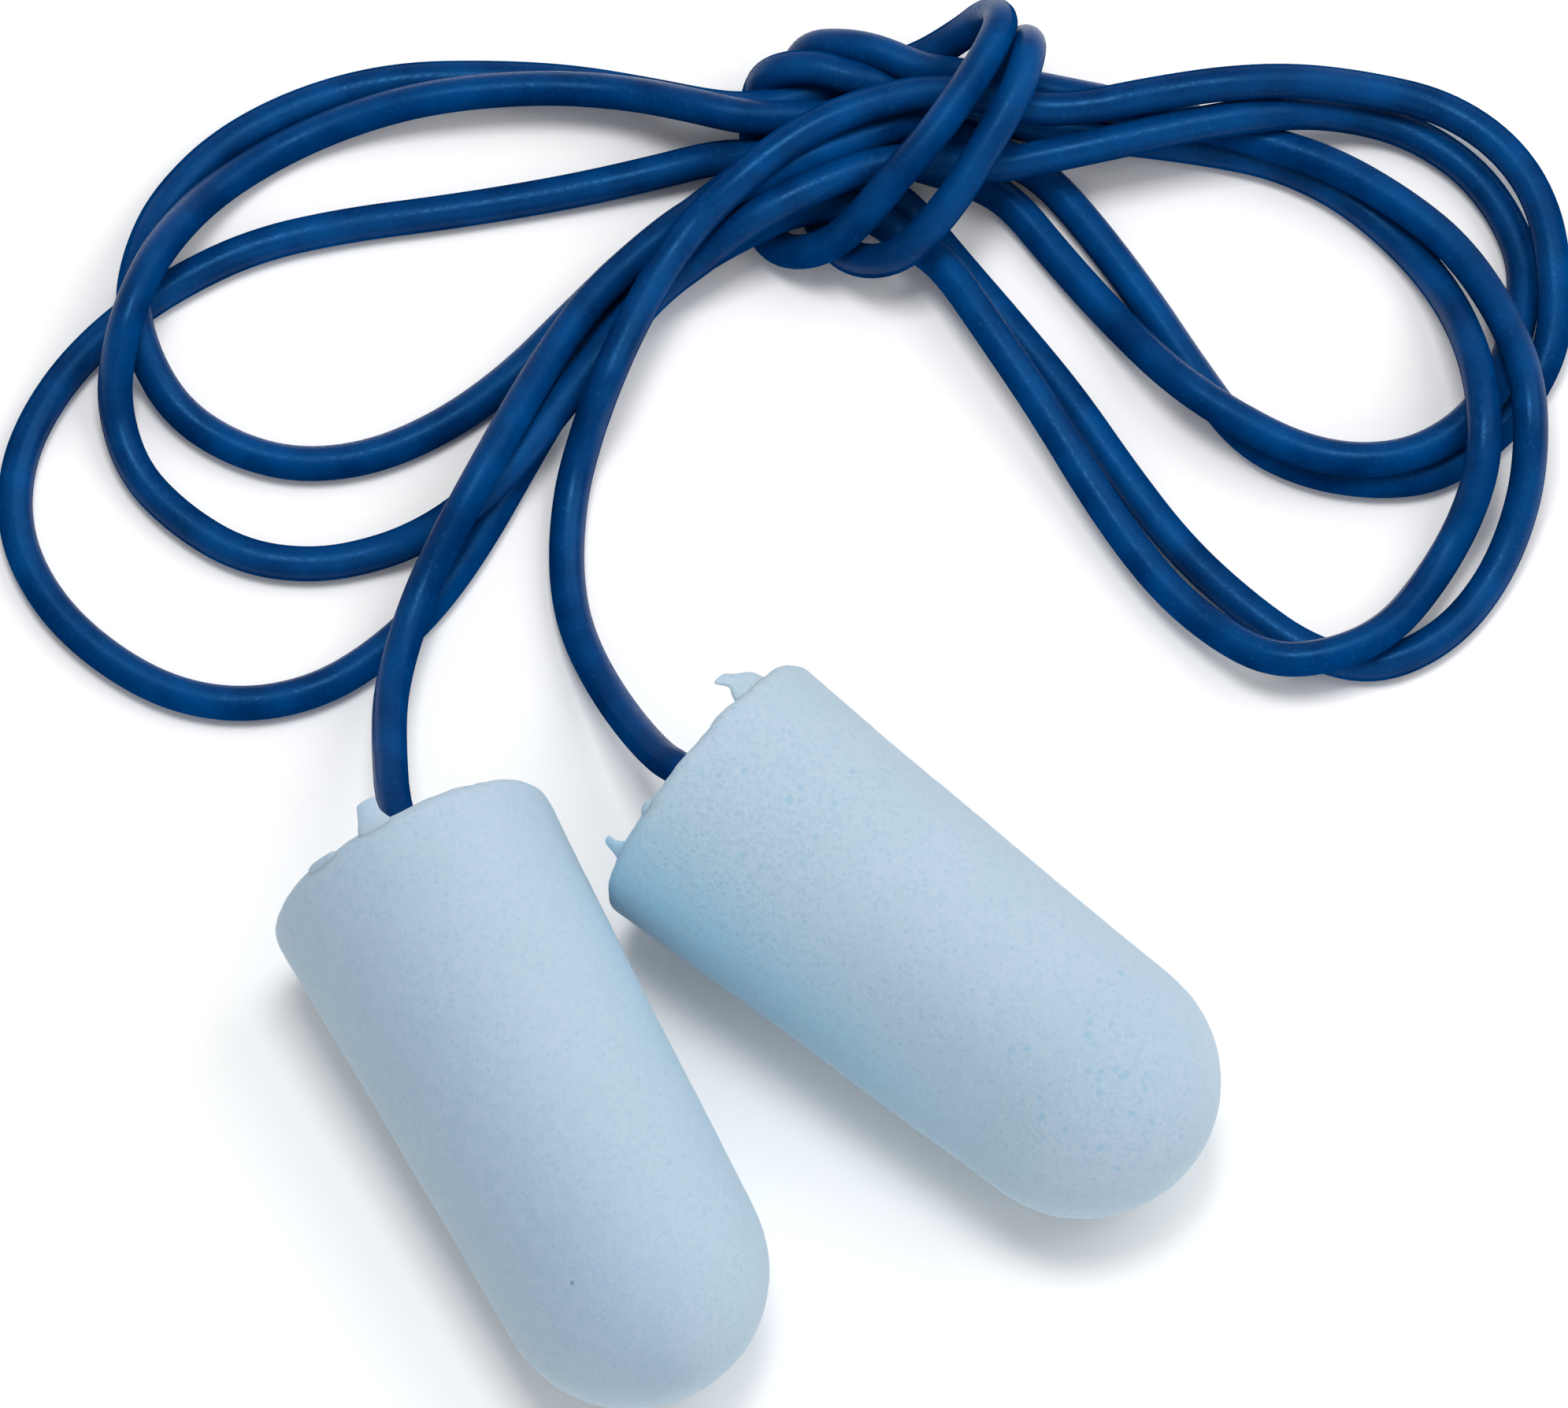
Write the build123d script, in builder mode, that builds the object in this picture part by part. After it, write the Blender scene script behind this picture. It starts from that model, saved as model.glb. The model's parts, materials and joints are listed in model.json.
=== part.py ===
# A pair of tapered foam ear plugs joined by one thin cord.
# The plugs lie on the surface at z = 0, side by side, with their round tips toward -Y.
# The cord leaves the middle of each flat base and is folded behind the plugs into a hank of
# three loops on the left and four on the right, tied across its middle.
# Millimetres, +Z up. The origin is under the middle of the two plugs.
import os
from math import cos, pi, radians, sin, tan

from build123d import *

# Foam plug
plug_length = 25.0
plug_base_radius = 6.1
plug_taper = 1.9  # degrees, between the side and the axis
plug_rim_radius = 0.5
plug_heading_left = -62.5  # degrees from +X, the way the tip points
plug_heading_right = -39.5
right_base_middle = (-1.6, 10.6)  # seen from above
plug_gap = 0.26  # between the right plug's rim and the left plug's side
rim_beside_side = 5.04  # how far along the left plug the right plug's rim comes nearest

# Cord and the glued socket that holds its end
cord_diameter = 1.4
cord_seat_depth = 4.8  # how far the cord's end reaches into the plug
cord_lead = 1.2  # how far the cord runs straight on outside the plug
glue_gap = 0.25  # glue film between the cord and the foam
glue_floor = 1.0  # glue below the cord's end
glue_recess = 1.6  # how far inside the base the glue starts

# Tie across the middle of the hank: its outline from above and its slanting top
tie_outline = [
    (-1.0, 36.6), (-0.9, 42.4), (1.0, 44.4), (6.0, 44.4), (9.6, 45.3), (11.2, 44.8),
    (12.4, 43.2), (12.4, 40.6), (9.6, 35.4), (7.4, 33.3), (3.0, 33.6), (0.4, 34.4),
]
tie_height_left = 5.9  # at x = tie_left_x
tie_height_right = 7.5  # at x = tie_right_x
tie_left_x = -1.0
tie_right_x = 12.4
tie_corner_radius = 0.8
tie_top_radius = 0.9

# Route of the cord's middle line along each stretch, from one end of the cord to the other.
# A stretch that reaches the tie ends inside it. A leg's own end is worked out from its plug.
cord_routes = {
    "cord_leg_right": [
        (-5.5, 15.9, 2.2), (-6.6, 19.2, 0.8),
        (-7.0, 22.0, 0.7), (-6.8, 25.1, 0.7), (-6.2, 27.2, 1.5), (-5.5, 28.5, 3.5), (-4.6, 30.7, 3.7),
        (-3.3, 33.3, 3.8), (-1.9, 35.3, 4.1), (-0.4, 36.6, 4.9), (1.3, 38.0, 5.2),
    ],
    "cord_loop_right_1": [
        (9.6, 40.7, 4.6), (11.4, 40.3, 4.1), (13.5, 40.3, 4.1), (16.1, 40.8, 4.3), (19.2, 41.2, 4.6),
        (22.1, 41.5, 4.2), (25.0, 41.8, 2.6), (27.9, 41.2, 2.0), (30.1, 39.4, 2.0), (31.6, 37.0, 2.0),
        (32.4, 34.2, 2.0), (32.4, 31.6, 1.3), (31.4, 29.4, 0.7), (29.9, 27.5, 0.7), (27.7, 25.9, 0.7),
        (25.2, 25.6, 0.7), (22.4, 26.1, 0.7), (19.9, 27.5, 0.7), (17.9, 30.5, 0.7), (16.0, 33.6, 0.7),
        (13.9, 36.6, 0.7), (12.0, 38.9, 0.7), (10.0, 39.8, 1.0),
    ],
    "cord_loop_left_1": [
        (0.0, 40.2, 3.5), (-2.0, 40.8, 3.3), (-4.5, 41.8, 2.2), (-7.9, 42.1, 2.1), (-12.0, 41.8, 2.0),
        (-15.4, 41.2, 1.2), (-18.6, 39.9, 0.7), (-21.3, 37.7, 1.4), (-23.1, 34.7, 3.4),
        (-24.1, 32.4, 3.8), (-24.7, 30.5, 3.4), (-25.0, 28.8, 1.2), (-24.2, 26.1, 0.7),
        (-22.3, 24.0, 0.7), (-19.8, 22.4, 0.7), (-16.9, 22.0, 0.7), (-14.2, 22.6, 0.7),
        (-12.1, 23.3, 1.5), (-10.4, 24.4, 2.2), (-9.0, 25.9, 2.2), (-7.8, 27.6, 2.1), (-6.4, 29.5, 2.1),
        (-4.8, 31.6, 2.1), (-3.2, 33.5, 2.1), (-1.5, 34.6, 2.6), (0.1, 35.5, 3.8), (1.7, 36.3, 4.2),
    ],
    "cord_loop_right_2": [
        (9.9, 38.1, 3.5), (12.4, 38.7, 3.4), (15.2, 39.3, 3.5), (18.3, 39.9, 3.6), (21.1, 40.4, 3.5),
        (23.9, 41.3, 1.3), (26.7, 40.8, 0.7), (29.1, 39.1, 0.7), (30.6, 36.9, 0.7), (31.3, 34.6, 0.7),
        (30.9, 32.0, 0.9), (30.1, 29.3, 2.0), (28.7, 27.4, 2.1), (26.7, 26.2, 2.1), (24.4, 25.8, 2.2),
        (22.1, 26.3, 2.2), (19.7, 27.6, 2.2), (17.4, 29.5, 2.2), (15.1, 32.4, 1.0), (12.7, 35.4, 0.7),
        (10.8, 37.7, 0.7), (9.2, 38.6, 0.8),
    ],
    "cord_loop_left_2": [
        (1.1, 38.5, 3.5), (-0.2, 38.0, 2.1), (-1.6, 37.2, 1.2), (-3.2, 36.1, 0.7), (-4.8, 34.7, 0.7),
        (-6.8, 32.6, 0.7), (-8.9, 30.3, 0.7), (-11.5, 28.2, 0.7), (-14.5, 26.7, 0.7), (-17.5, 26.3, 0.7),
        (-20.1, 27.0, 0.7), (-22.3, 28.5, 0.7), (-23.6, 30.4, 1.3), (-24.3, 32.5, 2.3),
        (-23.9, 35.1, 2.0), (-22.9, 37.7, 1.0), (-20.7, 40.2, 0.7), (-17.5, 42.0, 0.7),
        (-13.9, 43.0, 0.7), (-10.1, 43.1, 0.7), (-6.7, 42.9, 0.7), (-3.6, 42.2, 1.0), (-1.2, 41.3, 1.9),
        (0.4, 41.1, 2.1),
    ],
    "cord_loop_right_4": [
        (9.9, 41.3, 0.9), (13.0, 40.7, 0.7), (15.8, 40.4, 0.7), (18.6, 40.0, 0.7), (21.3, 39.1, 0.7),
        (24.0, 37.9, 0.7), (26.4, 35.9, 0.7), (28.1, 33.6, 1.2), (29.1, 30.6, 3.1), (29.5, 28.0, 3.7),
        (29.5, 25.3, 3.5), (28.7, 23.5, 1.4), (27.3, 21.1, 1.1), (25.6, 18.6, 2.1), (23.3, 17.5, 2.2),
        (20.9, 17.4, 2.1), (18.6, 19.1, 1.4), (16.5, 21.2, 1.3), (14.3, 24.4, 1.4), (12.1, 28.2, 1.8),
        (9.9, 31.6, 2.1), (8.1, 34.5, 1.9), (6.7, 35.6, 1.7),
    ],
    "cord_loop_left_3": [
        (1.9, 36.6, 2.4), (-0.3, 35.7, 1.9), (-2.3, 34.9, 0.7), (-4.1, 33.4, 0.7), (-5.9, 31.3, 0.7),
        (-7.4, 28.9, 0.7), (-8.9, 26.1, 0.7), (-10.3, 23.4, 0.7), (-12.0, 20.7, 0.7), (-14.0, 18.5, 0.7),
        (-16.6, 16.7, 0.7), (-19.6, 16.0, 0.7), (-22.6, 16.5, 0.7), (-25.4, 18.2, 0.7),
        (-27.6, 20.5, 0.7), (-28.9, 23.4, 0.7), (-28.8, 26.6, 0.7), (-27.4, 29.6, 0.7),
        (-25.3, 32.1, 0.7), (-22.7, 34.1, 0.7), (-19.5, 35.8, 0.7), (-15.8, 36.7, 0.7),
        (-11.4, 37.3, 0.7), (-7.0, 38.1, 0.7), (-3.6, 38.8, 1.0), (-1.2, 39.3, 1.4), (0.3, 39.1, 2.1),
    ],
    "cord_loop_right_3": [
        (6.9, 37.1, 0.9), (8.4, 35.2, 0.7), (10.8, 32.2, 0.7), (13.1, 29.2, 0.7), (15.2, 25.9, 0.7),
        (17.4, 22.8, 0.7), (19.9, 20.3, 0.7), (22.5, 18.3, 0.7), (25.2, 17.6, 0.7), (27.9, 18.9, 0.7),
        (29.9, 21.4, 0.7), (31.1, 24.3, 1.6), (31.4, 26.6, 3.3), (31.2, 29.2, 3.5), (30.3, 32.0, 2.7),
        (28.5, 34.9, 2.1), (26.4, 36.8, 2.1), (23.7, 38.6, 2.1), (20.8, 39.8, 2.0), (17.7, 40.7, 2.1),
        (14.6, 41.5, 1.9), (12.1, 42.2, 1.5), (9.9, 42.5, 1.9),
    ],
    "cord_leg_left": [
        (1.1, 37.6, 3.7), (-0.7, 36.8, 3.4), (-2.4, 36.1, 2.5), (-4.1, 34.8, 2.1), (-5.9, 33.0, 2.1),
        (-7.4, 30.7, 2.3), (-8.9, 27.6, 3.4), (-10.3, 24.7, 3.8), (-11.7, 22.3, 2.9), (-12.8, 20.1, 2.1),
        (-13.8, 17.1, 2.1), (-14.3, 14.2, 3.2),
    ],
}

os.makedirs("parts", exist_ok=True)
cord_radius = cord_diameter / 2
bore_radius = cord_radius + glue_gap
bore_depth = cord_seat_depth + glue_floor
taper = radians(plug_taper)

# The dome is a sphere that the tapered side touches, and its top is plug_length from the base.
dome_radius = (plug_base_radius - plug_length * tan(taper)) / (cos(taper) - tan(taper) * (1 - sin(taper)))
dome_start_radius = dome_radius * cos(taper)
dome_start_height = plug_length - dome_radius * (1 - sin(taper))

def heading_line(heading):
    return Vector(cos(radians(heading)), sin(radians(heading)), 0)


def base_plane(base_middle, heading):
    # The plug rests on its tapered side, so its base's middle is a little under a radius up.
    middle = Vector(base_middle.X, base_middle.Y, plug_base_radius * cos(taper))
    along = heading_line(heading) * cos(taper) - Vector(0, 0, sin(taper))
    return Plane(origin=middle, x_dir=heading_line(heading + 90), z_dir=along)


def half_profile_plane(base):
    return Plane(origin=base.origin, x_dir=base.x_dir, z_dir=base.x_dir.cross(base.z_dir))


def corner_radii(route):
    # Each arc takes 0.45 of its shorter run, so that two arcs never share a piece of a run.
    radii = []
    for before, corner, after in zip(route, route[1:], route[2:]):
        run_in = Vector(corner) - Vector(before)
        run_out = Vector(after) - Vector(corner)
        half_turn = radians(run_in.get_angle(run_out)) / 2
        radii.append(0.45 * min(run_in.length, run_out.length) / tan(half_turn))
    return radii


def finish(node, label):
    node.part.label = label
    export_step(node.part, f"parts/{label}.step")


# The left plug lies beside the right one: its side just clears the right plug's rim.
nearest_rim = Vector(*right_base_middle) + heading_line(plug_heading_right - 90) * plug_base_radius
left_side_radius = plug_base_radius - rim_beside_side * tan(taper)
left_base_middle = (
    nearest_rim
    + heading_line(plug_heading_left - 90) * (left_side_radius + plug_gap)
    - heading_line(plug_heading_left) * rim_beside_side
)
bases = {
    "left": base_plane(left_base_middle, plug_heading_left),
    "right": base_plane(Vector(*right_base_middle), plug_heading_right),
}

for side, base in bases.items():
    # Foam plug: tapered side, round tip, eased rim and a bore in the middle of the base
    with BuildPart() as foam_plug:
        with BuildSketch(half_profile_plane(base)):
            with BuildLine():
                base_edge = Line((0, 0), (plug_base_radius, 0))
                side_edge = Line(base_edge @ 1, (dome_start_radius, dome_start_height))
                dome_edge = RadiusArc(side_edge @ 1, (0, plug_length), -dome_radius)
                Line(dome_edge @ 1, base_edge @ 0)
            make_face()
        revolve(axis=Axis(base.origin, base.z_dir))
        rim = foam_plug.edges().filter_by(GeomType.CIRCLE).sort_by(SortBy.RADIUS)[-1]
        fillet(rim, radius=plug_rim_radius)
        with BuildSketch(base):
            Circle(bore_radius)
        extrude(amount=bore_depth, mode=Mode.SUBTRACT)
    finish(foam_plug, f"foam_plug_{side}")

    # Set glue: it fills the bore's bottom and the gap round the cord's end
    with BuildPart() as cord_bond:
        with BuildSketch(base.offset(glue_recess)):
            Circle(bore_radius)
        extrude(amount=bore_depth - glue_recess)
        with BuildSketch(base):
            Circle(cord_radius)
        extrude(amount=cord_seat_depth, mode=Mode.SUBTRACT)
    finish(cord_bond, f"cord_bond_{side}")

    # The cord's end sits in the bore and runs straight on for a little way outside.
    cord_end = [base.origin + base.z_dir * cord_seat_depth, base.origin - base.z_dir * cord_lead]
    if side == "right":
        cord_routes["cord_leg_right"] = cord_end + cord_routes["cord_leg_right"]
    else:
        cord_routes["cord_leg_left"] = cord_routes["cord_leg_left"] + cord_end[::-1]

# Tie: the outer shape of the two turns that cross the hank and the strands inside them
with BuildPart() as cord_tie:
    with BuildSketch() as tie_foot:
        with BuildLine():
            Polyline(*tie_outline, close=True)
        make_face()
        fillet(tie_foot.vertices(), radius=tie_corner_radius)
    extrude(amount=max(tie_height_left, tie_height_right) + tie_top_radius)
    tie_slope = (tie_height_right - tie_height_left) / (tie_right_x - tie_left_x)
    tie_top = Plane(origin=(tie_left_x, 0, tie_height_left), x_dir=(1, 0, tie_slope), z_dir=(-tie_slope, 0, 1))
    split(bisect_by=tie_top, keep=Keep.BOTTOM)
    fillet(cord_tie.faces().sort_by(Axis.Z)[-1].edges(), radius=tie_top_radius)
finish(cord_tie, "cord_knot")

# One tube for each stretch, cut off where it enters the tie
for label, route in cord_routes.items():
    radii = corner_radii(route)
    with BuildPart() as stretch:
        with BuildLine() as middle_line:
            FilletPolyline(*route, radius=radii)
        with BuildSketch(Plane(origin=middle_line.line @ 0, z_dir=middle_line.line % 0)):
            Circle(cord_radius)
        sweep()
        length = middle_line.wires()[0].length
        volume_ratio = stretch.part.volume / (pi * cord_radius**2 * length)
        add(cord_tie.part, mode=Mode.SUBTRACT)
    finish(stretch, label)
    print(label, "length", round(length, 1), "volume over section x length", round(volume_ratio, 4))
    print("    bend radii:", *(round(radius, 1) for radius in radii))
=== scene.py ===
import json
import math
import bpy
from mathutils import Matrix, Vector, noise


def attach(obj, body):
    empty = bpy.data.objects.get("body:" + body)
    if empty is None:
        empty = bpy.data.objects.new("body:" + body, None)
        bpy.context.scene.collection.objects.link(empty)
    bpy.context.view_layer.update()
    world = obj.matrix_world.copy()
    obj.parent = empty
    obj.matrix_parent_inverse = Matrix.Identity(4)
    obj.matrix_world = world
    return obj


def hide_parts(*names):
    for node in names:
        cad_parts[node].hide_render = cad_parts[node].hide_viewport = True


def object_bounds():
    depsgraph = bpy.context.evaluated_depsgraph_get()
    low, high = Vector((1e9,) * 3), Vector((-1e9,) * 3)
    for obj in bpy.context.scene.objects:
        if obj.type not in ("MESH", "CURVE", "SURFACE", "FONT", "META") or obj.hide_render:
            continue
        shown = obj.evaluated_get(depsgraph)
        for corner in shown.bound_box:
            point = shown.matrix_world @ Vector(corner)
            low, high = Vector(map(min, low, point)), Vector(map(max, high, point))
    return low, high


# A pair of tapered foam ear plugs on one cord that is folded and tied behind them.
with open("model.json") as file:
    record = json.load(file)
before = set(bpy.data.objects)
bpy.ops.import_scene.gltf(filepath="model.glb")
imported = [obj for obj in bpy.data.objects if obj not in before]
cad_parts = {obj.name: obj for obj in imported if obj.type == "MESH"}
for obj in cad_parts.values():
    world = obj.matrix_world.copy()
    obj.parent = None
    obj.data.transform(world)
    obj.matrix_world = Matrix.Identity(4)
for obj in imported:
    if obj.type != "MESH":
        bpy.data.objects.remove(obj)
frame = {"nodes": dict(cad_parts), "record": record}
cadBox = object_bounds()
mounts = {mount["name"]: mount for mount in frame["record"]["mounts"]}
mm = 0.001  # the lists and sizes below are in millimetres, Blender is in metres
up = Vector((0, 0, 1))


# ---- camera ----
shot = {
    "target": (1.7, 16.4, 0.0),  # what the middle of the picture shows, on the floor
    "elevation": 68,
    "distance": 1500,
    "width": 62.2,  # of the floor, across the picture
    "sensor": 36,
}


def makeCamera(settings):
    tilt = math.radians(settings["elevation"])
    back = Vector((0, -math.cos(tilt), math.sin(tilt)))
    place = (Vector(settings["target"]) + back * settings["distance"]) * mm
    bpy.ops.object.camera_add(location=place, rotation=(math.pi / 2 - tilt, 0, 0))
    camera = bpy.context.object
    camera.name = "productCamera"
    camera.data.sensor_width = settings["sensor"]
    camera.data.lens = settings["sensor"] * settings["distance"] / settings["width"]
    camera.data.clip_start = 0.1
    camera.data.clip_end = 10
    bpy.context.scene.camera = camera


makeCamera(shot)
print("camera made")


# ---- small helpers ----
def objectMode():
    if bpy.context.mode != "OBJECT":
        bpy.ops.object.mode_set(mode="OBJECT")


def deselectAll():
    objectMode()
    bpy.ops.object.select_all(action="DESELECT")


def selectOnly(piece):
    deselectAll()
    piece.select_set(True)
    bpy.context.view_layer.objects.active = piece


def linear(hexColour, alpha=1.0):
    # An sRGB hex value as the linear colour that a shader reads
    parts = [int(hexColour[i : i + 2], 16) / 255 for i in (1, 3, 5)]
    parts = [p / 12.92 if p <= 0.04045 else ((p + 0.055) / 1.055) ** 2.4 for p in parts]
    return (*parts, alpha)


def perMetre(size):
    # Texture scale for a pattern whose cell is that many millimetres across
    return 1 / (size * mm)


def addNode(material, kind, values=None, links=None, **settings):
    node = material.node_tree.nodes.new(kind)
    for name, value in settings.items():
        setattr(node, name, value)
    for socket, value in (values or {}).items():
        node.inputs[socket].default_value = value
    for socket, source in (links or {}).items():
        material.node_tree.links.new(source, node.inputs[socket])
    return node


def newMaterial(name, viewColour):
    material = bpy.data.materials.new(name)
    material.use_nodes = True
    material.node_tree.nodes.clear()
    material.diffuse_color = linear(viewColour)
    return material


def setRamp(node, *stops):
    # stops are (place, colour) pairs, from low to high
    points = node.color_ramp.elements
    while len(points) < len(stops):
        points.new(0.5)
    for point, (place, colour) in zip(points, stops):
        point.position = place
        point.color = colour
    return node


def grey(value):
    return (value, value, value, 1)


# ---- cord ----
cord = {
    "diameter": 1.4,
    "seatDepth": 4.8,  # the cord's end is this far inside the plug
    "lead": 0.7,  # it runs straight on this far outside
    "length": 690,
    "sides": 7,  # bevel steps in a quarter turn
    "steps": 7,  # points along the line between two route points
}

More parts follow.
